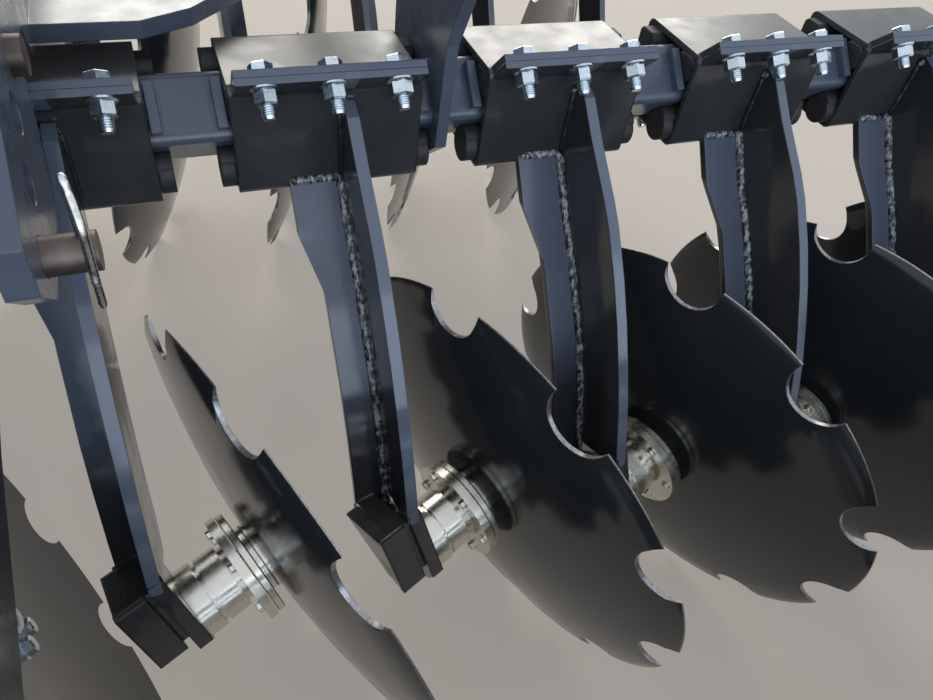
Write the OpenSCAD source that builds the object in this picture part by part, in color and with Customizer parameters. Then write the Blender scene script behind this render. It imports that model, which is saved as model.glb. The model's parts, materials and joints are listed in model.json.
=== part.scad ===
// Mounted disc harrow: two rows of twelve scalloped discs on rubber sprung arms, with a cage roller.
// X is to the right, Y is forward (the way it is pulled), Z is up, and the floor is Z = 0.

/* [Layout] */
// spacing of the arms along a beam
pitch = 250; // [244:1:270]
// distance between the two beams
row_gap = 910; // [870:5:980]
// side of the square beams, which stand on a corner
beam_side = 65; // [60:1:67]
// wall of the beams
beam_wall = 6; // [4:1:8]
// how far the beams run past their outermost stops
beam_end = 14; // [8:1:54]

/* [Clamps] */
// half of the outer side of a clamp's square housing
box_half = 53; // [53:0.5:55]
// plate of the clamps
clamp_t = 6.5; // [5:0.5:7]
// width of a housing along the beam
box_w = 180; // [170:1:186]
// width of its bolted flanges
flange_w = 172; // [160:1:180]
// how far a flange stands out
flange_l = 32; // [28:1:36]
// extra thickness under a housing
keel = 6; // [4:0.5:8]
// spacing of the three clamp bolts
bolt_gap = 61; // [56:1:66]
// how far the rubber cords stand out of a housing
cord_out = 14; // [6:1:16]

/* [Arms] */
// plate of the curved rib
rib_t = 12; // [10:1:14]
// where the rib stands beside the clamp's middle
rib_x = 10; // [6:1:14]
// plate of the arm's wide face
face_t = 10; // [8:1:12]

/* [Discs] */
// radius of a disc
disc_r = 280; // [265:1:285]
// plate of a disc
disc_t = 5; // [4:0.5:6]
// depth of the dish
dish = 36; // [28:1:42]
// radius of a notch
notch_r = 36; // [28:1:40]
// notches of a disc
notches = 10; // [8:1:12]
// width of the ground edge
edge_w = 13; // [8:1:16]
// angle of a disc to the way it is pulled
disc_turn = 20.5; // [17:0.5:22]
// lean of a disc
disc_lean = 9.8; // [8:0.1:11]

/* [Hubs] */
// radius of the hub's tube
hub_r = 37.5; // [34:0.5:40]
// radius of the bolted flanges
flange_r = 63; // [58:0.5:66]
// length of the fixed hub
hub_l = 65; // [60:1:68]

/* [Roller] */
// radius over the bars
roller_r = 220; // [205:1:222]
// radius of a bar
bar_r = 16; // [12:1:18]
// length of the roller
roller_l = 2900; // [2800:5:2920]
// distance of the roller behind the rear beam
roller_back = 880; // [870:1:920]

/* [Hidden] */
$fn = 48;
arms = 12;
e = 0.3;

// how far the hitch stands out in front of the front beam
nose = 256;
rear_y = (roller_back + roller_r - nose - row_gap) / 2;
front_y = rear_y + row_gap;
// the blunt land that the ground edge leaves on the rim
land = 1.5;

// the disc's rim centre lies this far from the clamp's middle
disc_dx = 151;
disc_dy = -252;
disc_drop = 366;
disc_z = disc_r * cos(disc_lean) + land * sin(disc_lean);
beam_z = disc_z + disc_drop;

// places along the disc's axis, counted from the rim towards the arm
dish_r = (disc_r * disc_r + dish * dish) / (2 * dish);
dish_c = dish_r - dish;
boss_k = dish + disc_t;
ring_k = boss_k + 9;
ring_t = 8;
gap_k = ring_k + ring_t;
boss_r = 39;
hub_k = gap_k + 1;
plate_k = hub_k + hub_l;
plate_t = 15;

// turns of the rear and the front discs, read from the photograph where it shows them
turns = [3, 17, 30, 11, 25, 8, 14, 5.5, 21.7, 28.7, 22, 10];
front_turns = [12, 24, 7, 31, 19, 2, 27, 15, 3.5, 29.5, 4.5, 9];

function arm_x(i) = (i - (arms - 1) / 2) * pitch;

// a frame whose Z runs along a disc's axis to its hollow side, X down and Y forward
module on_axis(i) {
    translate([arm_x(i) + disc_dx, disc_dy, disc_z]) rotate([0, 90 - disc_lean, disc_turn]) children();
}

// places an X-Z outline drawn in the Y-Z plane, from x0 over a width w
module slab(x0, w) {
    translate([x0, 0, 0]) rotate([90, 0, 90]) linear_extrude(w) children();
}

// beams

// the stops that keep a clamp in its place along the beam
stop_w = 9;
// gap between a stop and its clamp
stop_gap = 2;
stop_h = 11;

module diamond(side, r) {
    rotate(45) union() {
        square([side, side - 2 * r], center = true);
        square([side - 2 * r, side], center = true);
        for (a = [0:90:270]) rotate(a) translate([side / 2 - r, side / 2 - r]) circle(r);
    }
}

beam_l = (arms - 1) * pitch + box_w + 2 * (stop_gap + stop_w + beam_end);

module beam() {
    translate([0, 0, beam_z]) {
        slab(-beam_l / 2, beam_l) difference() {
            diamond(beam_side, 8);
            diamond(beam_side - 2 * beam_wall, 3);
        }
        for (s = [-1, 1]) translate([s * (beam_l / 2 - 3), 0, 0]) slab(-3, 6) diamond(beam_side - 2, 7);
        // stops on the rear top face, beside each clamp
        for (i = [0:arms - 1]) for (s = [-1, 1])
            translate([arm_x(i) + s * (box_w / 2 + stop_gap + stop_w / 2), 0, 0]) rotate([45, 0, 0])
                translate([-stop_w / 2, -24, beam_side / 2 - 2]) cube([stop_w, 46, stop_h + 2]);
    }
}

module rear_beam() {
    color("#4b5563") translate([0, rear_y, 0]) beam();
}

module front_beam() {
    color("#4b5563") translate([0, front_y, 0]) beam();
}

// clamps: two bent shells, parted along the slanting line from the top rear to the bottom front corner

inner_half = box_half - clamp_t;
corner_s = box_half * sqrt(2);
// the flange bolts' place along the parting line
bolt_s = corner_s + 16;
bolt_r = 8;

module rounded_box(half, r) {
    union() {
        square([2 * half, 2 * (half - r)], center = true);
        square([2 * (half - r), 2 * half], center = true);
        for (a = [0:90:270]) rotate(a) translate([half - r, half - r]) circle(r);
    }
}

// the half of the plane above the parting line, in Y and Z
module upper_half() {
    rotate(45) translate([0.15, -200]) square([200, 400]);
}

module shell_outline() {
    intersection() {
        difference() {
            rounded_box(box_half, 9);
            rounded_box(inner_half, 3);
        }
        upper_half();
    }
}

// the flange strips of the upper shell
module flange_outline() {
    rotate(45) for (s = [-1, 1]) translate([0.15, s > 0 ? corner_s - 7 : -corner_s - flange_l + 5])
        square([clamp_t, flange_l + 2]);
}

module shell() {
    slab(-box_w / 2, box_w) shell_outline();
    difference() {
        slab(-flange_w / 2, flange_w) flange_outline();
        for (x = [-bolt_gap, 0, bolt_gap]) for (s = [-1, 1]) translate([x, 0, 0]) rotate([45, 0, 0])
            translate([0, s * bolt_s, -20]) cylinder(h = 40, r = bolt_r + 0.5);
    }
}

module caps() {
    for (i = [0:arms - 1]) translate([arm_x(i), 0, beam_z]) shell();
}

module rear_caps() {
    color("#15181d") translate([0, rear_y, 0]) caps();
}

module front_caps() {
    color("#15181d") translate([0, front_y, 0]) mirror([1, 0, 0]) caps();
}

// rubber cords in the four corners between the beam and the housing
module cord_outline() {
    intersection() {
        translate([inner_half - 14, inner_half - 14]) circle(16.5);
        square([inner_half - e, inner_half - e]);
        difference() {
            square(200);
            rotate(45) square([2 * (beam_side / 2 + e), 400], center = true);
        }
    }
}

// the lower rear cord's end, which swells outside the housing
module cord_end() {
    difference() {
        translate([-inner_half + 14, -inner_half + 8]) circle(18);
        rotate(45) square(beam_side + 2 * e, center = true);
    }
}

module cords() {
    for (i = [0:arms - 1]) translate([arm_x(i), 0, beam_z]) {
        for (a = [0, 180, 270]) slab(-box_w / 2 - cord_out, box_w + 2 * cord_out) rotate(a) cord_outline();
        // the upper rear cord ends flush, because the beam's stops stand there
        slab(-box_w / 2 - 1, box_w + 2) rotate(90) cord_outline();
        for (s = [0, 1]) mirror([s, 0, 0]) slab(box_w / 2 + e, cord_out - e) cord_end();
    }
}

module rear_cords() {
    color("#101010") translate([0, rear_y, 0]) cords();
}

module front_cords() {
    color("#101010") translate([0, front_y, 0]) mirror([1, 0, 0]) cords();
}

// arms

// the rib's rear edge and its front edge, in Y and Z from the beam's middle
rib_rear = [[-75, 29], [-107, -1], [-156, -41], [-178, -62], [-212, -103], [-240, -142],
    [-265, -182], [-290, -226], [-316, -281], [-321, -294]];
rib_front = [[-256, -332], [-236, -312], [-206, -250], [-180, -206], [-131, -143], [-86, -92], [-50, -51]];

// the wide face's rear side and the steps down and forward to its other side
face_line = [[-53, -47], [-92, -98], [-139, -150], [-189, -215], [-216, -262], [-243, -320], [-262, -372]];
face_step = [[7.5, -6.6], [7.6, -6.5], [7.8, -6.2], [8.4, -5.4], [9.0, -4.2], [9.3, -3.7], [9.3, -3.7]];

module rib_outline() {
    polygon(concat([[-box_half + 2, 38]], rib_rear, rib_front, [[-box_half + 2, -box_half + 10]]));
}

module face_outline() {
    polygon(concat(face_line, [for (k = [len(face_line) - 1:-1:0]) face_line[k] + face_step[k] * face_t / 10]));
}

// the wide face seen from the rear, in X and Z
module face_width() {
    polygon([[-42, 0], [-42, -92], [-26, -138], [-26, -400], [rib_x + 1, -400], [rib_x + 1, 0]]);
}

// the thicker wall under the housing
module keel_outline() {
    r = 9;
    translate([-box_half + r, -box_half - keel]) square([box_half + 20, keel + 3]);
    translate([-box_half, -box_half - keel + r]) square([r, 2 * keel + r]);
    translate([-box_half + r, -box_half - keel + r]) circle(r);
}

module arm_body() {
    slab(-box_w / 2, box_w) keel_outline();
    slab(rib_x, rib_t) rib_outline();
    intersection() {
        slab(-60, 100) face_outline();
        rotate([90, 0, 0]) linear_extrude(500) face_width();
    }
}

// the socket that holds the hub, in the frame of the disc's axis and turned by its tilt
socket_tilt = -16;
socket_w = 44;
socket_l = 52;
socket_top = -91;
side_t = 14;
wall_t = 8;

// the floor, from the wide face's foot back and up to the rear wall
module socket_floor() {
    back = -socket_w + wall_t - 1;
    polygon([[-66, 46], [-67, 36], [-70, 22], [-77, 0], [-88, back], [-76, back], [-64, 0],
        [-57, 22], [-54, 46]]);
}

module hub_socket() {
    w = socket_w;
    inside = socket_l - plate_t;
    rotate([0, 0, socket_tilt]) {
        // plate square to the axis, with a round end behind the tube
        translate([0, 0, -plate_k - plate_t]) linear_extrude(plate_t) union() {
            circle(hub_r + 4.5);
            polygon([[-99, -w], [13, -w], [13, w], [-40, w], [-62, 8], [-99, -32]]);
        }
        translate([0, 0, -plate_k - socket_l]) {
            // side plate
            linear_extrude(side_t) polygon([[socket_top, -w], [-7, -w], [-6, -16], [-68, 40]]);
            translate([0, 0, side_t - 1]) linear_extrude(inside - side_t + 2) socket_floor();
            // rear wall, and a second one that closes the slot beside it
            translate([socket_top, -w, 0]) cube([-socket_top, wall_t, inside - 7]);
            translate([socket_top + 8, -w + wall_t, 0]) cube([-socket_top - 12, wall_t, inside + 3]);
        }
    }
}

module arm(i) {
    difference() {
        union() {
            translate([arm_x(i), 0, beam_z]) {
                rotate([180, 0, 0]) shell();
                arm_body();
            }
            on_axis(i) hub_socket();
        }
        translate([arm_x(i), 0, beam_z]) slab(-100, 200) rounded_box(inner_half, 3);
    }
}

module arm_row() {
    for (i = [0:arms - 1]) arm(i);
}

module rear_arms() {
    color("#15181d") translate([0, rear_y, 0]) arm_row();
}

module front_arms() {
    color("#15181d") translate([0, front_y, 0]) mirror([1, 0, 0]) arm_row();
}

// hubs: the fixed half with its spindle

spindle_r = 20;

module hub() {
    translate([0, 0, -plate_k + e]) cylinder(h = 19, r = hub_r + 1.5);
    translate([0, 0, -plate_k + 19]) cylinder(h = 6, r = hub_r - 3);
    translate([0, 0, -plate_k + 24]) cylinder(h = hub_l - 24 - 17, r = hub_r);
    translate([0, 0, -hub_k - 18]) cylinder(h = 9, r = hub_r - 5);
    translate([0, 0, -hub_k - 10]) cylinder(h = 10, r = flange_r);
    translate([0, 0, -hub_k - 1]) cylinder(h = hub_k - boss_k - 2, r = spindle_r);
}

module hubs() {
    for (i = [0:arms - 1]) on_axis(i) hub();
}

module rear_hubs() {
    color("#b8b09a") translate([0, rear_y, 0]) hubs();
}

module front_hubs() {
    color("#b8b09a") translate([0, front_y, 0]) mirror([1, 0, 0]) hubs();
}

// discs

function dish_z(r, ball) = dish_c - sqrt(ball * ball - r * r);

module disc_section() {
    z_in = dish_z(disc_r - edge_w, dish_r + disc_t);
    slope = (-land - z_in) / edge_w;
    intersection() {
        translate([0, dish_c]) difference() {
            circle(dish_r + disc_t, $fn = 96);
            circle(dish_r, $fn = 96);
        }
        polygon([[0, -70], [disc_r - (70 - land) / slope, -70], [disc_r, -land], [disc_r, 5], [0, 5]]);
    }
}

module disc(turn) {
    difference() {
        union() {
            rotate_extrude($fn = 96) disc_section();
            translate([0, 0, -ring_k]) cylinder(h = ring_k - dish - 2, r = boss_r);
            translate([0, 0, -gap_k]) cylinder(h = ring_t, r = flange_r - 1.5);
        }
        translate([0, 0, -gap_k - 1]) cylinder(h = gap_k - boss_k + 0.5, r = spindle_r + 0.05);
        for (k = [0:notches - 1]) rotate(turn + k * 360 / notches) translate([disc_r, 0, -60])
            cylinder(h = 70, r = notch_r);
    }
}

module rear_disc(i) {
    color("#16181b") translate([0, rear_y, 0]) on_axis(i) disc(turns[i]);
}

module front_disc(i) {
    color("#16181b") translate([0, front_y, 0]) mirror([1, 0, 0])
        on_axis(arms - 1 - i) disc(front_turns[i]);
}

module rear_disc_01() { rear_disc(0); }
module rear_disc_02() { rear_disc(1); }
module rear_disc_03() { rear_disc(2); }
module rear_disc_04() { rear_disc(3); }
module rear_disc_05() { rear_disc(4); }
module rear_disc_06() { rear_disc(5); }
module rear_disc_07() { rear_disc(6); }
module rear_disc_08() { rear_disc(7); }
module rear_disc_09() { rear_disc(8); }
module rear_disc_10() { rear_disc(9); }
module rear_disc_11() { rear_disc(10); }
module rear_disc_12() { rear_disc(11); }
module front_disc_01() { front_disc(0); }
module front_disc_02() { front_disc(1); }
module front_disc_03() { front_disc(2); }
module front_disc_04() { front_disc(3); }
module front_disc_05() { front_disc(4); }
module front_disc_06() { front_disc(5); }
module front_disc_07() { front_disc(6); }
module front_disc_08() { front_disc(7); }
module front_disc_09() { front_disc(8); }
module front_disc_10() { front_disc(9); }
module front_disc_11() { front_disc(10); }
module front_disc_12() { front_disc(11); }

// frame: uprights on the beams, rails on top of them

rail = 80;
rail_wall = 6;
up_t = 12;
up_x = 2.5 * pitch + box_w / 2 + max(cord_out, stop_w + 2) + 3;
// height of the rails' underside over the beams' middle
rail_up = 237;
rail_z = beam_z + rail_up;
rail_in = up_x + up_t / 2 - rail / 2;

// an upright in Y and Z from the rear beam's middle
module upright_outline() {
    difference() {
        polygon([[-57, -24], [-62, 85], [-140, rail_up - e], [91, rail_up - e],
            [91, -20], [50, -60], [-3, -68]]);
        diamond(beam_side + 2 * e, 8);
    }
}

module uprights() {
    color("#4b5563") for (s = [0, 1]) mirror([s, 0, 0]) {
        translate([0, rear_y, beam_z]) slab(up_x, up_t) upright_outline();
        translate([0, front_y, beam_z]) mirror([0, 1, 0]) slab(up_x, up_t) upright_outline();
    }
}

// a square tube along X, its corner at the origin
module box_tube(w, wall, l) {
    rotate([90, 0, 90]) linear_extrude(l) difference() {
        square(w);
        translate([wall, wall]) square(w - 2 * wall);
    }
}

module side_rails() {
    color("#4b5563") for (s = [0, 1]) mirror([s, 0, 0])
        translate([rail_in + rail, rear_y - 150, rail_z]) rotate([0, 0, 90])
            box_tube(rail, rail_wall, row_gap + 300);
}

module cross_rails() {
    color("#4b5563") for (y = [rear_y, front_y])
        translate([-rail_in + e, y - rail / 2, rail_z]) box_tube(rail, rail_wall, 2 * rail_in - 2 * e);
}

// roller brackets: a plate around the rear beam, a plate over the clamp and a shelf

in_x = pitch;
bracket_x = 1.5 * pitch - 6;
bracket_t = 20;
// the pins' places, in Y and Z from the rear beam's middle
stop_pin = [-234, 40];
pin_step = [39, 30];
pivot_pin = [-110, 118];
pin_r = 14;

module pin_holes() {
    for (k = [0:2]) translate(stop_pin + k * pin_step) circle(pin_r + 0.5);
    translate(pivot_pin) circle(pin_r + 0.3);
}

// the inner plate, which holds the bracket on the beam
module inner_outline() {
    difference() {
        polygon([[-3, -68], [-60, -24], [-66, 20], [-139, 7], [-242, 8], [-280, 45], [-277, 60], [-200, 130],
            [-150, rail_up - e], [91, rail_up - e], [91, -20], [50, -60]]);
        diamond(beam_side + 2 * e, 8);
        pin_holes();
    }
}

// the outer plate, which passes over the clamp
module outer_outline() {
    difference() {
        polygon([[-280, 45], [-242, 8], [-139, 7], [-90, 58], [-80, 98], [-20, 98], [0, 66], [215, 66],
            [215, 130], [-60, 175], [-160, 165], [-277, 80]]);
        pin_holes();
    }
}

module roller_brackets() {
    color("#4b5563") for (s = [0, 1]) mirror([s, 0, 0]) translate([0, rear_y, beam_z]) {
        slab(in_x - 6, up_t) inner_outline();
        slab(bracket_x, bracket_t) outer_outline();
        // shelf from the outer plate to the upright
        translate([0, 0, 66]) linear_extrude(16) polygon([[bracket_x + 4, 21], [bracket_x + 107, 21],
            [bracket_x + 152, 44], [bracket_x + 167, 60], [up_x - e, 254], [up_x - e, 300],
            [bracket_x + 4, 210]]);
        // spacer between the two plates
        translate([in_x, 30, 90]) cube([bracket_x - in_x + 2, 50, 50]);
    }
}

module stop_pins() {
    color("#7c6f66") for (s = [0, 1]) mirror([s, 0, 0]) translate([0, rear_y, beam_z])
        translate([in_x - 18, stop_pin[0], stop_pin[1]]) rotate([0, 90, 0]) {
            cylinder(h = bracket_x + 54 - in_x + 18, r = pin_r);
            cylinder(h = 8, r = pin_r + 8);
        }
}

module pivot_pins() {
    color("#7c6f66") for (s = [0, 1]) mirror([s, 0, 0]) translate([0, rear_y, beam_z])
        translate([in_x - 14, pivot_pin[0], pivot_pin[1]]) rotate([0, 90, 0]) {
            cylinder(h = bracket_x + bracket_t + 10 - in_x + 14, r = pin_r);
            cylinder(h = 7.5, r = pin_r + 8);
        }
}

// headstock: hitch plates on the front beam, a tower and its brace

// the lower pins' and the top bore's places, in Y and Z from the front beam's middle
low_pin = [226, -58];
low_x = 412.5;
low_l = 70;
low_r = 14;
shank_r = 11;
top_eye = [175, 552];
top_r = 12.75;
nose_tube = 60;

module hitch_plate_outline() {
    difference() {
        polygon([[-60, -20], [-60, rail_up - e], [60, rail_up - e], [80, 85], [172, -20], [172, -92],
            [100, -96], [0, -68]]);
        diamond(beam_side + 2 * e, 8);
    }
}

module lug_outline() {
    difference() {
        union() {
            translate(low_pin) circle(30);
            translate(low_pin) polygon([[-62, -30], [0, -30], [0, 30], [-62, 30]]);
        }
        translate(low_pin) circle(shank_r + e);
    }
}

// a leg of the tower: its foot stands on the cross rail
module tower_outline() {
    foot = rail_up + rail + e;
    difference() {
        polygon([[-38, foot], [38, foot], [top_eye[0] + 38, top_eye[1] - 20],
            [top_eye[0] + 38, top_eye[1] + 15], [top_eye[0] + 15, top_eye[1] + 38],
            [top_eye[0] - 30, top_eye[1] + 38], [60, top_eye[1] - 60]]);
        translate(top_eye) circle(top_r);
    }
}

module headstock() {
    color("#4b5563") translate([0, front_y, beam_z]) {
        for (s = [0, 1]) mirror([s, 0, 0]) {
            for (x = [in_x - 6, 2 * in_x - 6]) slab(x, up_t) hitch_plate_outline();
            // tube across the two plates, with the lug of the lower pin
            translate([in_x - 20, low_pin[0] - 116, low_pin[1] - nose_tube / 2])
                box_tube(nose_tube, 6, in_x + 40);
            slab(low_x - 20, 20) lug_outline();
        }
    }
}

module tower() {
    color("#4b5563") translate([0, front_y, beam_z]) {
        for (s = [0, 1]) mirror([s, 0, 0]) slab(34, 15) tower_outline();
        // plate that ties the legs
        translate([-35, 20, rail_up + rail + 60]) cube([70, 12, 60]);
    }
}

module brace() {
    color("#4b5563") translate([0, front_y, beam_z]) slab(-34 + e, 68 - 2 * e) difference() {
        polygon([[100, 505], [75, 448], [-row_gap + 10, rail_up + rail + e],
            [-row_gap - 36, rail_up + rail + e], [-row_gap - 36, rail_up + rail + 24]]);
    }
}

module hitch_pins() {
    color("#7c6f66") translate([0, front_y, beam_z]) for (s = [0, 1]) mirror([s, 0, 0])
        translate([low_x + e, low_pin[0], low_pin[1]]) rotate([0, 90, 0]) {
            cylinder(h = low_l, r = low_r);
            translate([0, 0, -32]) cylinder(h = 33, r = shank_r);
            translate([0, 0, -32]) cylinder(h = 12 - 2 * e, r = low_r + 8);
        }
}

// roller: a frame with two arms, and a cage of bars on plates

arm_x0 = in_x + 34;
arm_w = 52;
tube_at = [-705, -150];
tube_w = 80;

// an arm in Y and Z from the rear beam's middle
module roller_arm_outline() {
    difference() {
        union() {
            translate(pivot_pin) circle(34);
            polygon([[-131, 145], [-222, 18], [-330, -13], [-478, -66], [-665.5, -133], [-665.5, -189],
                [-311.5, -60], [-188, -30], [-82.5, 98]]);
        }
        translate(pivot_pin) circle(pin_r + 0.05);
    }
}

module roller_frame() {
    ax = [-roller_back, roller_r - beam_z];
    color("#15181d") translate([0, rear_y, beam_z]) {
        for (s = [0, 1]) mirror([s, 0, 0]) {
            slab(arm_x0, arm_w) roller_arm_outline();
            // end plate that carries the bearing
            slab(roller_l / 2 + 12, 12) difference() {
                polygon([[tube_at[0] + 40, tube_at[1] + 40], [tube_at[0] + 40, tube_at[1] - 60],
                    ax + [70, -30], ax + [40, -70], ax + [-40, -70], ax + [-70, -30], ax + [-60, 50],
                    [tube_at[0] - 40, tube_at[1] + 40]]);
                translate(ax) circle(30);
            }
        }
        translate([-roller_l / 2 - 14, tube_at[0] - tube_w / 2, tube_at[1] - tube_w / 2])
            box_tube(tube_w, 6, roller_l + 28);
    }
}

module roller_bearings() {
    color("#6f6a5c") translate([0, rear_y - roller_back, roller_r]) for (s = [0, 1]) mirror([s, 0, 0])
        translate([roller_l / 2 + 24 + e, 0, 0]) rotate([0, 90, 0]) difference() {
            union() {
                cylinder(h = 12, r = 55);
                cylinder(h = 30, r = 38);
            }
            translate([0, 0, -1]) cylinder(h = 32, r = 20.05);
        }
}

module roller_cage() {
    color("#2a2d31") translate([0, rear_y - roller_back, roller_r]) rotate([0, 90, 0]) {
        for (a = [0:45:315]) rotate(a) translate([roller_r - bar_r, 0, -roller_l / 2])
            cylinder(h = roller_l, r = bar_r);
        for (k = [0:6]) translate([0, 0, -roller_l / 2 + 20 + k * (roller_l - 48) / 6])
            cylinder(h = 8, r = roller_r - bar_r);
        translate([0, 0, -roller_l / 2 + 1]) cylinder(h = roller_l - 2, r = 38);
        translate([0, 0, -roller_l / 2 - 52]) cylinder(h = roller_l + 104, r = 20);
    }
}

rear_beam();
front_beam();
rear_arms();
front_arms();
rear_caps();
front_caps();
rear_cords();
front_cords();
rear_hubs();
front_hubs();
uprights();
side_rails();
cross_rails();
roller_brackets();
headstock();
tower();
brace();
hitch_pins();
stop_pins();
pivot_pins();
roller_frame();
roller_bearings();
roller_cage();
rear_disc_01();
rear_disc_02();
rear_disc_03();
rear_disc_04();
rear_disc_05();
rear_disc_06();
rear_disc_07();
rear_disc_08();
rear_disc_09();
rear_disc_10();
rear_disc_11();
rear_disc_12();
front_disc_01();
front_disc_02();
front_disc_03();
front_disc_04();
front_disc_05();
front_disc_06();
front_disc_07();
front_disc_08();
front_disc_09();
front_disc_10();
front_disc_11();
front_disc_12();
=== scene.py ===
from functools import partial
import json
import math
import random

import bmesh
import bpy
from mathutils import Matrix, Vector


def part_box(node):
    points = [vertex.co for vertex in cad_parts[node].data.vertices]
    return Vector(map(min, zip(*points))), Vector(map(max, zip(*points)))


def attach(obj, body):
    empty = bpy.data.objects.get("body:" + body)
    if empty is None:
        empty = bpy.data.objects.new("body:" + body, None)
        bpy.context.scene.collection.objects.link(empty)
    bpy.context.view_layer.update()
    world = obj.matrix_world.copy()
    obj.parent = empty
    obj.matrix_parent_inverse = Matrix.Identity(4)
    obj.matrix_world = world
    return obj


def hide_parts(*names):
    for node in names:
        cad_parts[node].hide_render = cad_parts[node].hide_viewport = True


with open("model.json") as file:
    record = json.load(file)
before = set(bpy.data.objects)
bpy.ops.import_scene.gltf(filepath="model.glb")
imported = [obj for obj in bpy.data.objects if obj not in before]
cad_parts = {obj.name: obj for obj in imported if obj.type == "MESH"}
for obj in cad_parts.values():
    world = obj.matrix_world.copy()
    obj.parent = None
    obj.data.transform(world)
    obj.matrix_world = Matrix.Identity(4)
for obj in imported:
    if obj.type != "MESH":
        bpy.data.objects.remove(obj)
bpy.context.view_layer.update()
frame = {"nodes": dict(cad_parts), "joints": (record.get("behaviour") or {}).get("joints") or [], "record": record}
NODES = frame["nodes"]
JOINTS = {joint["name"]: joint for joint in frame["joints"]}

# all sizes are in metres, unless a comment says otherwise

# how far a disc's centre lies behind and below the middle of its clamp
DISC_BEHIND = 0.252
DISC_BELOW = 0.366

# the rows of arms: name, place of the beam, and 1 for arms as drawn or -1 for mirrored ones
ROWS = []
for row in ("rear", "front"):
    first = JOINTS[row + "_disc_01_turns"]
    ROWS.append((row, first["pos_m"][1] + DISC_BEHIND, 1 if first["axis"][0] > 0 else -1))
REAR_Y = ROWS[0][1]
BEAM_Z = JOINTS["rear_disc_01_turns"]["pos_m"][2] + DISC_BELOW
ARMS = sum(name.startswith("rear_disc_") for name in JOINTS)
PITCH = JOINTS["rear_disc_02_turns"]["pos_m"][0] - JOINTS["rear_disc_01_turns"]["pos_m"][0]

# the arms' ribs: plate, place beside the clamp's middle, and where the cut rear edge starts and ends
RIB_T = 0.012
RIB_ASIDE = 0.016
RIB_BEHIND = 0.057
RIB_BELOW = 0.294

# the clamps: half of a housing's side, the bolts' place outside its corner, and a flange's outer face
HOUSING_HALF = 0.053
BOLT_OUT = HOUSING_HALF * math.sqrt(2) + 0.016
BOLT_SPACING = 0.061
FLANGE_FACE = 0.00665

# the discs: radius, plate, depth, ground edge with the blunt land that it leaves, and notches
DISC_R = 0.28
DISC_T = 0.005
DISH = 0.036
EDGE_W = 0.013
LAND = 0.0015
NOTCHES = 10
NOTCH_R = 0.036
# radius of the ball that the hollow side follows
BALL = (DISC_R ** 2 + DISH ** 2) / (2 * DISH)
# how far each disc is turned, in degrees, from the left
TURNS = {"rear": [3, 17, 30, 11, 25, 8, 14, 5.5, 21.7, 28.7, 22, 10],
         "front": [12, 24, 7, 31, 19, 2, 27, 15, 3.5, 29.5, 4.5, 9]}

# places along a disc's axis, counted back from its rim: the turning flange's faces, the fixed one's far face
TURNING_START = 0.050
TURNING_END = 0.058
FIXED_END = 0.069

# what a small piece keeps clear of the plate it sits on
SEAT = 0.0002


def arm_x(i):
    return (i - (ARMS - 1) / 2) * PITCH


def disc_name(row, i):
    return "%s_disc_%02d" % (row, i + 1)


# materials

# radius that the shading gives to a painted edge, to the bent edges of the arms and to their cut ones
EDGE_ROUND = 0.0016
BEND_ROUND = 0.004
CUT_ROUND = 0.0012


def new_mat(name):
    mat = bpy.data.materials.new(name)
    mat.use_nodes = True
    tree = mat.node_tree
    return mat, tree, tree.nodes["Principled BSDF"]


def coords(tree, scale=(1, 1, 1)):
    source = tree.nodes.new("ShaderNodeTexCoord")
    mapping = tree.nodes.new("ShaderNodeMapping")
    mapping.inputs["Scale"].default_value = scale
    tree.links.new(source.outputs["Object"], mapping.inputs["Vector"])
    return mapping.outputs["Vector"]


def noise(tree, at, scale, detail, rough=0.5):
    texture = tree.nodes.new("ShaderNodeTexNoise")
    texture.inputs["Scale"].default_value = scale
    texture.inputs["Detail"].default_value = detail
    texture.inputs["Roughness"].default_value = rough
    tree.links.new(at, texture.inputs["Vector"])
    return texture.outputs["Fac"]


def ramp(tree, factor, low, dark, high, light):
    """Runs from dark at low to light at high."""
    node = tree.nodes.new("ShaderNodeValToRGB")
    for stop, place, colour in zip(node.color_ramp.elements, (low, high), (dark, light)):
        stop.position = place
        stop.color = (*colour, 1.0)
    tree.links.new(factor, node.inputs["Fac"])
    return node.outputs["Color"]


def remap(tree, value, low, high, from_low=0.0, from_high=1.0):
    node = tree.nodes.new("ShaderNodeMapRange")
    node.inputs["From Min"].default_value = from_low
    node.inputs["From Max"].default_value = from_high
    node.inputs["To Min"].default_value = low
    node.inputs["To Max"].default_value = high
    tree.links.new(value, node.inputs["Value"])
    return node.outputs["Result"]


def math_node(tree, kind, a, b):
    """One sum; a and b are sockets or numbers."""
    node = tree.nodes.new("ShaderNodeMath")
    node.operation = kind
    for value, socket in zip((a, b), node.inputs):
        if isinstance(value, (int, float)):
            socket.default_value = value
        else:
            tree.links.new(value, socket)
    return node.outputs[0]


def bump(tree, bsdf, height, strength, distance, round_edge=0.0):
    """Bumps by a height; round_edge also softens sharp edges: a radius, or a socket that gives it."""
    relief = tree.nodes.new("ShaderNodeBump")
    relief.inputs["Strength"].default_value = strength
    relief.inputs["Distance"].default_value = distance
    tree.links.new(height, relief.inputs["Height"])
    if round_edge:
        soft = tree.nodes.new("ShaderNodeBevel")
        soft.samples = 6
        if isinstance(round_edge, float):
            soft.inputs["Radius"].default_value = round_edge
        else:
            tree.links.new(round_edge, soft.inputs["Radius"])
        tree.links.new(soft.outputs["Normal"], relief.inputs["Normal"])
    tree.links.new(relief.outputs["Normal"], bsdf.inputs["Normal"])


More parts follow.
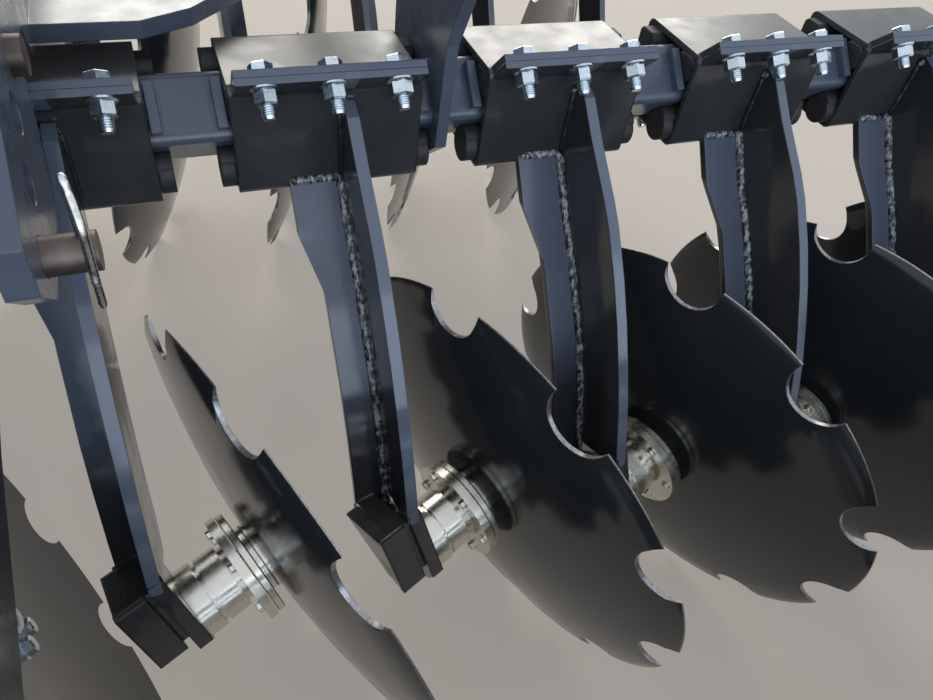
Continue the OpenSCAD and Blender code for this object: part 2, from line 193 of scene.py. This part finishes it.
def flange_edges(tree):
    """1 on faces that look back and up at 45 degrees: the flanges' cut edges, where a sky reflection is painted.
    """
    source = tree.nodes.new("ShaderNodeTexCoord")
    facing = tree.nodes.new("ShaderNodeVectorMath")
    facing.operation = "DOT_PRODUCT"
    tree.links.new(source.outputs["Normal"], facing.inputs[0])
    facing.inputs[1].default_value = (0, -math.sqrt(0.5), math.sqrt(0.5))
    return remap(tree, facing.outputs["Value"], 0.0, 1.0, 0.95, 0.985)


def rib_edges(tree, beam_y, sign):
    """1 on the cut rear edges of the arms' ribs, found by their place in each arm and by how they face."""
    source = tree.nodes.new("ShaderNodeTexCoord")
    at = tree.nodes.new("ShaderNodeSeparateXYZ")
    tree.links.new(source.outputs["Object"], at.inputs[0])
    facing = tree.nodes.new("ShaderNodeSeparateXYZ")
    tree.links.new(source.outputs["Normal"], facing.inputs[0])
    across = math_node(tree, "MODULO", math_node(tree, "ADD", at.outputs["X"], ARMS * PITCH), PITCH)
    off = math_node(tree, "SUBTRACT", across, PITCH / 2 + sign * RIB_ASIDE)
    in_rib = math_node(tree, "LESS_THAN", math_node(tree, "ABSOLUTE", off, 0), RIB_T / 2 + SEAT)
    behind = math_node(tree, "LESS_THAN", at.outputs["Y"], beam_y - RIB_BEHIND)
    # only edges that face back: they mirror the sky, whose reflection is painted on them
    rearward = math_node(tree, "LESS_THAN", facing.outputs["Y"], -0.35)
    above_socket = math_node(tree, "GREATER_THAN", at.outputs["Z"], BEAM_Z - RIB_BELOW)
    place = math_node(tree, "MULTIPLY", math_node(tree, "MULTIPLY", in_rib, behind), above_socket)
    return math_node(tree, "MULTIPLY", place, rearward)


def paint(name, colour, dust, rough, peel=0.0006, sheened_cut_edges=(), round_edge=EDGE_ROUND):
    """Gloss paint: slight orange peel, a film of dust, roughness that varies, and cut edges painted lighter as a
    painted reflection of the sky.
    """
    mat, tree, bsdf = new_mat(name)
    at = coords(tree)
    base = ramp(tree, noise(tree, at, 9.0, 6.0, 0.6), 0.35, colour, 0.75, dust)
    radius = round_edge
    for mask, light in sheened_cut_edges:
        cut = mask(tree)
        if round_edge > EDGE_ROUND:
            # a cut edge stays sharper than a bent one
            radius = math_node(tree, "MULTIPLY", math_node(tree, "SUBTRACT", 1.0, cut), radius)
        # the painted sky reflection: the edge colour mixed in where the mask is 1
        mix = tree.nodes.new("ShaderNodeMix")
        mix.data_type = "RGBA"
        tree.links.new(cut, mix.inputs["Factor"])
        tree.links.new(base, mix.inputs[6])
        mix.inputs[7].default_value = (*light, 1)
        base = mix.outputs[2]
    if not isinstance(radius, float):
        radius = math_node(tree, "MAXIMUM", radius, CUT_ROUND)
    shine = remap(tree, noise(tree, at, 35.0, 4.0), rough - 0.05, rough + 0.09, 0.3, 0.7)
    tree.links.new(base, bsdf.inputs["Base Color"])
    tree.links.new(shine, bsdf.inputs["Roughness"])
    bump(tree, bsdf, noise(tree, at, 260.0, 2.0), strength=0.12, distance=peel, round_edge=radius)
    bsdf.inputs["Specular IOR Level"].default_value = 0.55
    return mat


def metal(name, dark, light, rough, scale, depth=0.0002, relief=0.25):
    mat, tree, bsdf = new_mat(name)
    grain = noise(tree, coords(tree), scale, 5.0, 0.6)
    tree.links.new(ramp(tree, grain, 0.3, dark, 0.7, light), bsdf.inputs["Base Color"])
    tree.links.new(remap(tree, grain, rough - 0.06, rough + 0.08, 0.3, 0.7), bsdf.inputs["Roughness"])
    bsdf.inputs["Metallic"].default_value = 1.0
    bump(tree, bsdf, grain, strength=relief, distance=depth)
    return mat


def rubber():
    mat, tree, bsdf = new_mat("rubber")
    at = coords(tree)
    base = ramp(tree, noise(tree, at, 60.0, 4.0), 0.3, (0.012, 0.012, 0.013), 0.75, (0.035, 0.034, 0.033))
    tree.links.new(base, bsdf.inputs["Base Color"])
    bsdf.inputs["Roughness"].default_value = 0.62
    bump(tree, bsdf, noise(tree, at, 300.0, 3.0), strength=0.3, distance=0.0006, round_edge=0.004)
    return mat


def weld(name, start, light):
    """A weld under thin paint: its colour runs from dark to pale by the same ripples that bump it."""
    mat, tree, bsdf = new_mat(name)
    ripple = noise(tree, coords(tree, (1.0, 0.6, 0.35)), 260.0, 3.0, 0.7)
    base = ramp(tree, ripple, start, (0.02, 0.022, 0.026), start + 0.16, light)
    tree.links.new(base, bsdf.inputs["Base Color"])
    tree.links.new(remap(tree, ripple, 0.25, 0.5, 0.3, 0.7), bsdf.inputs["Roughness"])
    bump(tree, bsdf, ripple, strength=0.8, distance=0.002)
    return mat


def disc_material():
    """Black gloss paint over plate that is slightly wavy."""
    mat, tree, bsdf = new_mat("disc_paint")
    at = coords(tree)
    base = ramp(tree, noise(tree, at, 7.0, 6.0, 0.6), 0.35, (0.022, 0.026, 0.029), 0.8, (0.032, 0.035, 0.038))
    tree.links.new(base, bsdf.inputs["Base Color"])
    tree.links.new(remap(tree, noise(tree, at, 26.0, 4.0), 0.10, 0.19, 0.3, 0.7), bsdf.inputs["Roughness"])
    bump(tree, bsdf, noise(tree, at, 9.0, 2.0), strength=0.08, distance=0.004)
    return mat


BLACK = (0.036, 0.039, 0.042)
BLACK_DUST = (0.050, 0.053, 0.056)
# the caps' lighter dust: partly dust, partly a painted sheen standing in for the sky's glint on their tops
CAP_DUST_AND_SHEEN = (0.07, 0.072, 0.07)
# blue-grey painted onto cut edges that face back: a painted reflection of the sky
FLANGE_SKY_SHEEN = (0.115, 0.135, 0.185)
RIB_SKY_SHEEN = (0.13, 0.155, 0.21)

FRAME_PAINT = paint("frame_paint", (0.078, 0.095, 0.135), (0.105, 0.123, 0.162), rough=0.27)
BLACK_PAINT = paint("black_paint", BLACK, BLACK_DUST, rough=0.22, peel=0.0003)
ROLLER_PAINT = paint("roller_paint", (0.018, 0.019, 0.022), (0.03, 0.03, 0.032), rough=0.36)
BEARING_PAINT = paint("bearing_paint", (0.03, 0.03, 0.031), (0.05, 0.048, 0.045), rough=0.45)
CAP_PAINT = paint("cap_paint", BLACK, CAP_DUST_AND_SHEEN, rough=0.33, peel=0.0005,
                  sheened_cut_edges=[(flange_edges, FLANGE_SKY_SHEEN)])
ZINC = metal("zinc", (0.64, 0.62, 0.55), (0.74, 0.72, 0.65), rough=0.24, scale=45.0,
             depth=0.00002, relief=0.05)
BOLT = metal("bolt_zinc", (0.52, 0.62, 0.70), (0.74, 0.82, 0.88), rough=0.26, scale=300.0, depth=0.00005)
PIN = metal("pin_steel", (0.10, 0.075, 0.065), (0.24, 0.2, 0.18), rough=0.5, scale=30.0)
WIRE = metal("wire_zinc", (0.6, 0.6, 0.59), (0.8, 0.8, 0.79), rough=0.24, scale=300.0, depth=0.00004)
GROUND_STEEL = metal("ground_edge", (0.20, 0.20, 0.21), (0.44, 0.44, 0.45), rough=0.33, scale=300.0,
                     depth=0.0001)
DISC_PAINT = disc_material()
RUBBER = rubber()
WELD = weld("weld_bead", 0.45, (0.52, 0.53, 0.55))
SEAM = weld("weld_seam", 0.56, (0.12, 0.125, 0.135))

SLOT_MATS = {"frame_paint": FRAME_PAINT, "black_paint": BLACK_PAINT, "disc_paint": DISC_PAINT,
             "rubber": RUBBER, "zinc": ZINC, "pin_steel": PIN, "bearing": BEARING_PAINT,
             "roller_paint": ROLLER_PAINT}
# arms and caps have the black paint, with a painted sky reflection on the cut edges that face back
NODE_MATS = {}
for row, beam_y, sign in ROWS:
    edges = [(flange_edges, FLANGE_SKY_SHEEN), (partial(rib_edges, beam_y=beam_y, sign=sign), RIB_SKY_SHEEN)]
    NODE_MATS[row + "_arms"] = paint("arm_paint_" + row, BLACK, BLACK_DUST, rough=0.12, peel=0.0002,
                                     sheened_cut_edges=edges, round_edge=BEND_ROUND)
    NODE_MATS[row + "_caps"] = CAP_PAINT

for sub in frame["record"]["subparts"]:
    ob = NODES[sub["node"]]
    mat = NODE_MATS.get(sub["node"], SLOT_MATS[sub["material_slot"]])
    if not ob.material_slots:
        ob.data.materials.append(mat)
    for slot in ob.material_slots:
        slot.material = mat

# the arms' plates are bent, so their shading runs on over the bends
for row, beam_y, sign in ROWS:
    ob = NODES[row + "_arms"]
    me = ob.data
    if "custom_normal" in me.attributes:
        me.attributes.remove(me.attributes["custom_normal"])
    me.polygons.foreach_set("use_smooth", [True] * len(me.polygons))
    join = ob.modifiers.new("join", "WELD")
    join.merge_threshold = 0.00001
    split = ob.modifiers.new("split", "EDGE_SPLIT")
    split.split_angle = math.radians(18)


# mesh helpers

def finished_mesh(name, bm, mats, angle):
    """Makes bm a mesh, shaded smoothly except over edges sharper than the angle, in degrees."""
    me = bpy.data.meshes.new(name)
    bm.normal_update()
    bm.to_mesh(me)
    bm.free()
    for mat in mats:
        me.materials.append(mat)
    me.polygons.foreach_set("use_smooth", [True] * len(me.polygons))
    me.set_sharp_from_angle(angle=math.radians(angle))
    return me


def add_piece(name, me, body="frame"):
    ob = bpy.data.objects.new(name, me)
    bpy.context.scene.collection.objects.link(ob)
    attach(ob, body)
    return ob


def axes(z, x_hint):
    """A rotation whose Z is z, and whose X is as near to x_hint as it can be."""
    z = Vector(z).normalized()
    x = Vector(x_hint)
    x = (x - z * x.dot(z)).normalized()
    return Matrix((x, z.cross(x), z)).transposed().to_4x4()


def ring(bm, place, r, z, count):
    """Vertices in a circle about local Z."""
    angles = [2 * math.pi * k / count for k in range(count)]
    return [bm.verts.new(place @ Vector((r * math.cos(a), r * math.sin(a), z))) for a in angles]


def band(bm, a, b, finish=0):
    """Faces between two rings, of which one may be a single point."""
    count = max(len(a), len(b))
    for k in range(count):
        after = (k + 1) % count
        if len(a) == 1:
            corners = (a[0], b[k], b[after])
        elif len(b) == 1:
            corners = (a[k], b[0], a[after])
        else:
            corners = (a[k], b[k], b[after], a[after])
        bm.faces.new(corners).material_index = finish


def lathe(bm, profile, count, place, finish=0):
    """Revolves (radius, height) pairs about local Z."""
    rings = [ring(bm, place, r, z, count if r else 1) for r, z in profile]
    for a, b in zip(rings, rings[1:]):
        band(bm, a, b, finish)


def sweep(bm, line, radii, sides, x_hint):
    """A bar along a line of points, with a radius for each."""
    rings = []
    for k, centre in enumerate(line):
        along = line[min(k + 1, len(line) - 1)] - line[max(k - 1, 0)]
        place = Matrix.Translation(centre) @ axes(along, x_hint)
        rings.append(ring(bm, place, radii[k], 0.0, sides))
    for a, b in zip(rings, rings[1:]):
        for k in range(sides):
            after = (k + 1) % sides
            bm.faces.new((a[k], a[after], b[after], b[k]))
    bm.faces.new(list(reversed(rings[0])))
    bm.faces.new(rings[-1])


# the chamfer of a hexagon: the height where it starts and the radius where it ends, as shares
CHAMFER_START = 0.86
CHAMFER_END = 0.87


def hexagon(bm, place, across, height, flange_r=0.0, flange_h=0.0):
    """A head or nut standing on local Z = 0, with a chamfered top and, where it has a radius, a flange."""
    corner = across / 2 / math.cos(math.pi / 6)
    foot = 0.0
    if flange_r:
        lathe(bm, [(0, 0), (flange_r, 0), (flange_r, flange_h * 0.45), (across / 2, flange_h)], 24, place)
        # the hexagon stands a little way in its flange
        foot = flange_h - 0.0005
    base = ring(bm, place, corner, foot, 6)
    shoulder = ring(bm, place, corner, flange_h + height * CHAMFER_START, 6)
    top = ring(bm, place, corner * CHAMFER_END, flange_h + height, 6)
    band(bm, shoulder, base)
    band(bm, top, shoulder)
    bm.faces.new(top)
    bm.faces.new(list(reversed(base)))


def thread_end(bm, place, r, length, pitch=0.002):
    """A threaded end from local Z = 0 up, with ridges and a chamfered tip."""
    profile = [(0, 0), (r, 0)]
    z = 0.0
    while z < length - 2 * pitch:
        profile += [(r, z + pitch * 0.35), (r * 0.9, z + pitch * 0.7), (r, z + pitch)]
        z += pitch
    profile += [(r * 0.82, length), (0, length)]
    lathe(bm, profile, 20, place)


# clamp bolts on both rows: head above the top flange, nut and threaded end below it

BOLT_ACROSS = 0.019
HEAD_H = 0.0075
NUT_H = 0.0115
NUT_FLANGE_R = 0.0128
NUT_FLANGE_H = 0.0035
THREAD_R = 0.0062
THREAD_L = 0.0125
# where the bare thread starts, just inside the nut
THREAD_START = 0.0145
HALF_ROOT = math.sqrt(0.5)
# draws how far each bolt is turned
rng = random.Random(7)


def on_bolt(centre, along, distance, turn=0.0):
    """A place on a bolt, the distance from the flanges' joint, whose Z points along."""
    spin = Matrix.Rotation(turn, 4, "Z")
    return Matrix.Translation(centre + along * distance) @ axes(along, (1, 0, 0)) @ spin


def clamp_bolts(row, beam_y, sign):
    bm = bmesh.new()
    up = Vector((0, HALF_ROOT, HALF_ROOT))
    for i in range(ARMS):
        for aside in (-BOLT_SPACING, 0.0, BOLT_SPACING):
            # the bolts at the housing's top rear corner, then those at its bottom front corner
            for corner in (1, -1):
                out = corner * BOLT_OUT * HALF_ROOT
                centre = Vector((sign * arm_x(i) + aside, beam_y - out, BEAM_Z + out))
                spin = rng.uniform(0, math.pi / 3)
                head = on_bolt(centre, up, FLANGE_FACE + SEAT, spin)
                hexagon(bm, head, BOLT_ACROSS, HEAD_H)
                nut = on_bolt(centre, -up, FLANGE_FACE + SEAT, spin * 0.7 + 0.2)
                hexagon(bm, nut, BOLT_ACROSS, NUT_H, NUT_FLANGE_R, NUT_FLANGE_H)
                thread_end(bm, on_bolt(centre, -up, FLANGE_FACE + THREAD_START), THREAD_R, THREAD_L)
    name = row + "_clamp_bolts"
    add_piece(name, finished_mesh(name, bm, [BOLT], 30))


for row, beam_y, sign in ROWS:
    clamp_bolts(row, beam_y, sign)


# the discs, with a blunt ground edge all round the notches

# the finishes of a disc's faces: the order of its materials
PAINTED = 0
GROUND = 1
PLATED = 2
# points on half of a notch's circle, and steps from one notch to the next
NOTCH_STEPS = 8
RIM_STEPS = 9
# radii of the plate's rings, and how far they and the inner ring of the ground edge stay inside a notch
PLATE_RINGS = [max(share * DISC_R, 0.002) for share in (0.0, 0.12, 0.25, 0.38, 0.5, 0.6, 0.7, 0.78, 0.85)]
INSIDE_NOTCH = 0.004
EDGE_INSIDE_NOTCH = 0.0008
# boss and turning flange of the hub, on the round side
HUB_PROFILE = [(0.0, -0.0375), (0.0400, -0.0375), (0.0400, -0.0430), (0.0385, -0.0445),
               (0.0385, 0.0006 - TURNING_START), (0.0392, -TURNING_START), (0.0605, -TURNING_START),
               (0.0615, -TURNING_START - 0.001), (0.0615, 0.001 - TURNING_END), (0.0605, -TURNING_END),
               (0.024, -TURNING_END), (0.024, 0.004 - TURNING_END), (0.0, 0.004 - TURNING_END)]


def hollow_z(r, depth=0.0):
    """Height of the hollow side, or of a face that lies deeper in the plate."""
    return BALL - DISH - math.sqrt((BALL + depth) ** 2 - r * r)


def round_z(r):
    """Height of the round side, which is ground off straight towards the rim."""
    start = DISC_R - EDGE_W
    if r <= start:
        return hollow_z(r, DISC_T)
    start_z = hollow_z(start, DISC_T)
    return start_z + (r - start) * (-LAND - start_z) / EDGE_W


# rings of the ground edge: distance inside the rim, side, lift off that side, finish up to the next ring
EDGE_RINGS = [(0.0016, hollow_z, 0.0, PAINTED),
              (0.0004, hollow_z, 0.0, GROUND),
              (0.0, hollow_z, -0.0006, GROUND),
              (0.0, round_z, 0.0002, GROUND),
              (0.0009, round_z, 0.0, PAINTED)]


def disc_outline(turn):
    """The rim as (angle, radius) pairs: round each notch's circle, then along to the next."""
    half_notch = 2 * math.asin(NOTCH_R / 2 / DISC_R)
    half_arc = math.acos(NOTCH_R / 2 / DISC_R)
    step = 2 * math.pi / NOTCHES
    outline = []
    for k in range(NOTCHES):
        middle = math.radians(turn) + k * step
        for j in range(-NOTCH_STEPS, NOTCH_STEPS + 1):
            along = half_arc * j / NOTCH_STEPS
            across = NOTCH_R * math.sin(along)
            out = DISC_R - NOTCH_R * math.cos(along)
            outline.append((middle + math.atan2(across, out), math.hypot(across, out)))
        for j in range(1, RIM_STEPS):
            outline.append((middle + half_notch + (step - 2 * half_notch) * j / RIM_STEPS, DISC_R))
    return outline


def disc_shape(turn):
    """The plate by rings, from the hollow side's middle over the edge to the round side's, and its hub."""
    bm = bmesh.new()
    outline = disc_outline(turn)
    rings = []
    finishes = []

    def add_ring(radius, side, lift=0.0, finish=PAINTED):
        points = [(angle, radius(rim)) for angle, rim in outline]
        rings.append([bm.verts.new((r * math.cos(a), r * math.sin(a), side(r) + lift)) for a, r in points])
        finishes.append(finish)

    for r in PLATE_RINGS:
        add_ring(lambda rim: min(r, rim - INSIDE_NOTCH), hollow_z)
    for inside, side, lift, finish in EDGE_RINGS:
        add_ring(lambda rim: rim - inside, side, lift, finish)
    add_ring(lambda rim: min(rim - EDGE_INSIDE_NOTCH, DISC_R - EDGE_W), round_z)
    for r in reversed(PLATE_RINGS):
        add_ring(lambda rim: min(r, rim - INSIDE_NOTCH), round_z)
    for a, b, finish in zip(rings, rings[1:], finishes):
        band(bm, a, b, finish)
    bm.faces.new(rings[0])
    bm.faces.new(list(reversed(rings[-1])))
    lathe(bm, HUB_PROFILE, 64, Matrix.Identity(4), PLATED)
    bmesh.ops.recalc_face_normals(bm, faces=bm.faces)
    return bm


def disc_frame(row, i):
    """A disc's own axes: Z along its axle to the hollow side, and X down."""
    joint = JOINTS[disc_name(row, i) + "_turns"]
    return Matrix.Translation(joint["pos_m"]) @ axes(joint["axis"], (0, 0, -1))


for row, beam_y, sign in ROWS:
    for i in range(ARMS):
        name = disc_name(row, i)
        me = finished_mesh(name, disc_shape(TURNS[row][i] * sign), [DISC_PAINT, GROUND_STEEL, ZINC], 28)
        me.transform(disc_frame(row, i))
        plate = add_piece(name + "_plate", me, name)
        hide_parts(name)


# welds of the arms

# course of the wide face, as Y and Z in mm from the middle of the clamp
FACE = [(-53, -47), (-92, -98), (-139, -150), (-189, -215), (-216, -262), (-243, -320), (-256, -352)]
# each run: its points in mm from the middle of the clamp, radius and first seed
BEADS = [([(8.6, y - 1.5, z + 1.2) for y, z in FACE], 0.0052, 50),
         ([(-41, -54.5, -47), (8, -54.5, -47)], 0.0045, 90),
         ([(5, -56, 27), (14, -57, 30), (23, -56, 27)], 0.0042, 110)]
SEAMS = [([(9, -55, 24), (9, -55, -44)], 0.003, 0),
         ([(23, -55, 24), (23, -55, -44)], 0.0022, 130)]
# length of a ripple, and the share of its radius that a run has at its ends
RIPPLE = 0.0035
RUN_END = 0.35


def bead(bm, points, r, seed):
    """A rippled run of weld along a line with corners."""
    draw = random.Random(seed)
    line = []
    for p, q in zip(points, points[1:]):
        count = max(1, round((q - p).length / RIPPLE))
        line += [p.lerp(q, k / count) for k in range(count)]
    line.append(points[-1])
    radii = [r * (0.9 + 0.14 * (k % 2) + draw.uniform(-0.1, 0.1)) for k in range(len(line))]
    radii[0] = r * RUN_END
    radii[-1] = r * RUN_END
    sweep(bm, line, radii, 6, (0.31, 0.77, 0.55))


def arm_welds(name, beam_y, sign, runs, mat):
    bm = bmesh.new()
    for i in range(ARMS):
        middle = Vector((arm_x(i), beam_y, BEAM_Z))
        for points, r, seed in runs:
            bead(bm, [middle + Vector((sign * x, y, z)) / 1000 for x, y, z in points], r, seed + i)
    add_piece(name, finished_mesh(name, bm, [mat], 60))


for row, beam_y, sign in ROWS:
    arm_welds(row + "_arm_welds", beam_y, sign, BEADS, WELD)
    arm_welds(row + "_arm_seams", beam_y, sign, SEAMS, SEAM)


# small bolts of the hubs' fixed flanges

HUB_BOLTS = 6
HUB_BOLT_OUT = 0.0525
for row, beam_y, sign in ROWS:
    bm = bmesh.new()
    for i in range(ARMS):
        for k in range(HUB_BOLTS):
            angle = math.radians(20) + 2 * math.pi * k / HUB_BOLTS
            out = Vector((HUB_BOLT_OUT * math.cos(angle), HUB_BOLT_OUT * math.sin(angle), -FIXED_END - SEAT))
            place = disc_frame(row, i) @ Matrix.Translation(out) @ Matrix.Rotation(math.pi, 4, "X")
            hexagon(bm, place, across=0.0085, height=0.0042, flange_r=0.0062, flange_h=0.0008)
    name = row + "_hub_bolts"
    add_piece(name, finished_mesh(name, bm, [ZINC], 30))


# nuts and a cap on the discs' hollow side

DISC_NUTS = 5
DISC_NUT_OUT = 0.034
# how far the nuts are let into the plate
SUNK = 0.0003
# half outline of the cap, with heights above the middle of the dish
CAP_PROFILE = [(0.0, 0.0003), (0.0185, 0.0003), (0.0185, 0.005),
               (0.016, 0.009), (0.009, 0.0125), (0.0, 0.0135)]

bm = bmesh.new()
for k in range(DISC_NUTS):
    angle = 2 * math.pi * k / DISC_NUTS
    foot = hollow_z(DISC_NUT_OUT) - SUNK
    place = Matrix.Translation((DISC_NUT_OUT * math.cos(angle), DISC_NUT_OUT * math.sin(angle), foot))
    hexagon(bm, place, across=0.0165, height=0.0095, flange_r=0.0115, flange_h=0.002)
lathe(bm, CAP_PROFILE, 32, Matrix.Translation((0, 0, -DISH)))
bmesh.ops.recalc_face_normals(bm, faces=bm.faces)
nuts = finished_mesh("disc_nuts", bm, [BOLT], 30)
for row, beam_y, sign in ROWS:
    for i in range(ARMS):
        me = nuts.copy()
        me.transform(disc_frame(row, i))
        add_piece(disc_name(row, i) + "_nuts", me, disc_name(row, i))


# linch pins of the stop pins: a straight leg through the cross hole, a bend above it and a sprung leg behind

WIRE_R = 0.0031
# from a stop pin's end to its cross hole
HOLE_IN = 0.0125
# course of the wire in mm from the cross hole, X counted outwards
CLIP = [(4, -4, -48), (4.3, -3, -30), (4, 0, 0), (3, 5, 42),
        (2.9, 5.5, 52), (3.4, 2.6, 57.5), (4.6, -2, 57), (5.4, -4.6, 50),
        (6.6, -10, 43), (8.1, -18, 31), (7.6, -18.6, 14), (7.0, -18.2, -2), (6.8, -20.5, -14)]


def smooth_line(points, steps):
    """A smooth line through the points."""
    line = []
    for k in range(len(points) - 1):
        a = points[max(k - 1, 0)]
        b = points[k]
        c = points[k + 1]
        d = points[min(k + 2, len(points) - 1)]
        for j in range(steps):
            t = j / steps
            bend = (2 * a - 5 * b + 4 * c - d) * t ** 2 + (3 * b - a - 3 * c + d) * t ** 3
            line.append(0.5 * (2 * b + (c - a) * t + bend))
    line.append(points[-1])
    return line


pin_low, pin_high = (Vector(corner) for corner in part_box("stop_pins"))
pin_middle = (pin_low + pin_high) / 2
for side, outward in (("right", 1), ("left", -1)):
    hole = Vector((outward * (pin_high.x - HOLE_IN), pin_middle.y, pin_middle.z))
    wire = smooth_line([hole + Vector((outward * x, y, z)) / 1000 for x, y, z in CLIP], 7)
    taper = [0.6, 0.85] + [1.0] * (len(wire) - 4) + [0.85, 0.6]
    bm = bmesh.new()
    sweep(bm, wire, [WIRE_R * share for share in taper], 12, (0.21, 0.33, 0.92))
    name = "linch_pin_" + side
    add_piece(name, finished_mesh(name, bm, [WIRE], 50))


def seen(tree):
    """1 for camera, glossy and transmission rays, which see the stage as it is drawn; 0 for the rest."""
    path = tree.nodes.new("ShaderNodeLightPath")
    last = path.outputs["Is Camera Ray"]
    for kind in ("Is Glossy Ray", "Is Transmission Ray"):
        last = math_node(tree, "MAXIMUM", last, path.outputs[kind])
    return last


# floor

FLOOR_HALF = 14
bm = bmesh.new()
bmesh.ops.create_grid(bm, x_segments=1, y_segments=1, size=FLOOR_HALF)
me = bpy.data.meshes.new("floor")
bm.to_mesh(me)
bm.free()
floor = bpy.data.objects.new("floor", me)
bpy.context.scene.collection.objects.link(floor)
mat, tree, bsdf = new_mat("floor_mat")
bsdf.inputs["Base Color"].default_value = (0.60, 0.55, 0.50, 1)
bsdf.inputs["Roughness"].default_value = 0.85
# part of what is seen of the floor is evenly bright, and the rest keeps the machine's shadow
EVEN_SHARE = 0.55
even = tree.nodes.new("ShaderNodeEmission")
even.inputs["Color"].default_value = (0.51, 0.47, 0.43, 1)
mixer = tree.nodes.new("ShaderNodeMixShader")
tree.links.new(math_node(tree, "MULTIPLY", seen(tree), EVEN_SHARE), mixer.inputs[0])
tree.links.new(bsdf.outputs[0], mixer.inputs[1])
tree.links.new(even.outputs[0], mixer.inputs[2])
tree.links.new(mixer.outputs[0], tree.nodes["Material Output"].inputs["Surface"])
me.materials.append(mat)


# light

# strength of the sky as a lamp, and as it is seen
SKY_LIGHT = 0.5
SKY_DRAWN = 1.0
world = bpy.data.worlds.new("studio")
bpy.context.scene.world = world
world.use_nodes = True
tree = world.node_tree
background = tree.nodes["Background"]
background.inputs["Color"].default_value = (0.88, 0.93, 1.0, 1)
tree.links.new(remap(tree, seen(tree), SKY_LIGHT, SKY_DRAWN), background.inputs["Strength"])


def area(name, place, target, size, power, colour):
    lamp = bpy.data.lights.new(name, "AREA")
    lamp.shape = "RECTANGLE"
    lamp.size, lamp.size_y = size
    lamp.energy = power
    lamp.color = colour
    ob = bpy.data.objects.new(name, lamp)
    ob.location = place
    ob.rotation_euler = (Vector(target) - Vector(place)).to_track_quat("-Z", "Y").to_euler()
    ob.visible_camera = False
    bpy.context.scene.collection.objects.link(ob)


# a low lamp in front, which the caps' tops mirror, and a cool one behind, which the arms' faces mirror
area("key", place=(2.0, 6.2, 3.9), target=(1.2, 0.2, 0.7), size=(8.6, 3.2), power=620,
     colour=(1.0, 0.96, 0.87))
area("sky", place=(0.5, -6.0, 2.4), target=(0.5, 0, 0.5), size=(9.0, 4.0), power=210,
     colour=(0.68, 0.82, 1.0))


# camera, with the angles and the focal length that were fitted to the photograph

DIP = math.radians(46.46)
YAW = math.radians(28.28)
ROLL = math.radians(-9.94)
PLACE = Vector((0.480, REAR_Y - 0.669, 1.022))
# in pixels of the photograph
FOCAL = 725.44
PHOTO_W = 933
SENSOR = 36.0

forward = Vector((math.sin(YAW) * math.cos(DIP), math.cos(YAW) * math.cos(DIP), -math.sin(DIP)))
level = Vector((math.cos(YAW), -math.sin(YAW), 0))
below = forward.cross(level)
right = math.cos(ROLL) * level + math.sin(ROLL) * below
down = -math.sin(ROLL) * level + math.cos(ROLL) * below
camera = bpy.data.cameras.new("camera")
camera.sensor_fit = "HORIZONTAL"
camera.sensor_width = SENSOR
camera.lens = FOCAL / PHOTO_W * SENSOR
camera.clip_start = 0.02
ob = bpy.data.objects.new("camera", camera)
pose = Matrix((right, -down, -forward)).transposed().to_4x4()
pose.translation = PLACE
ob.matrix_world = pose
bpy.context.scene.collection.objects.link(ob)
bpy.context.scene.camera = ob
bpy.context.scene.view_settings.view_transform = "Standard"
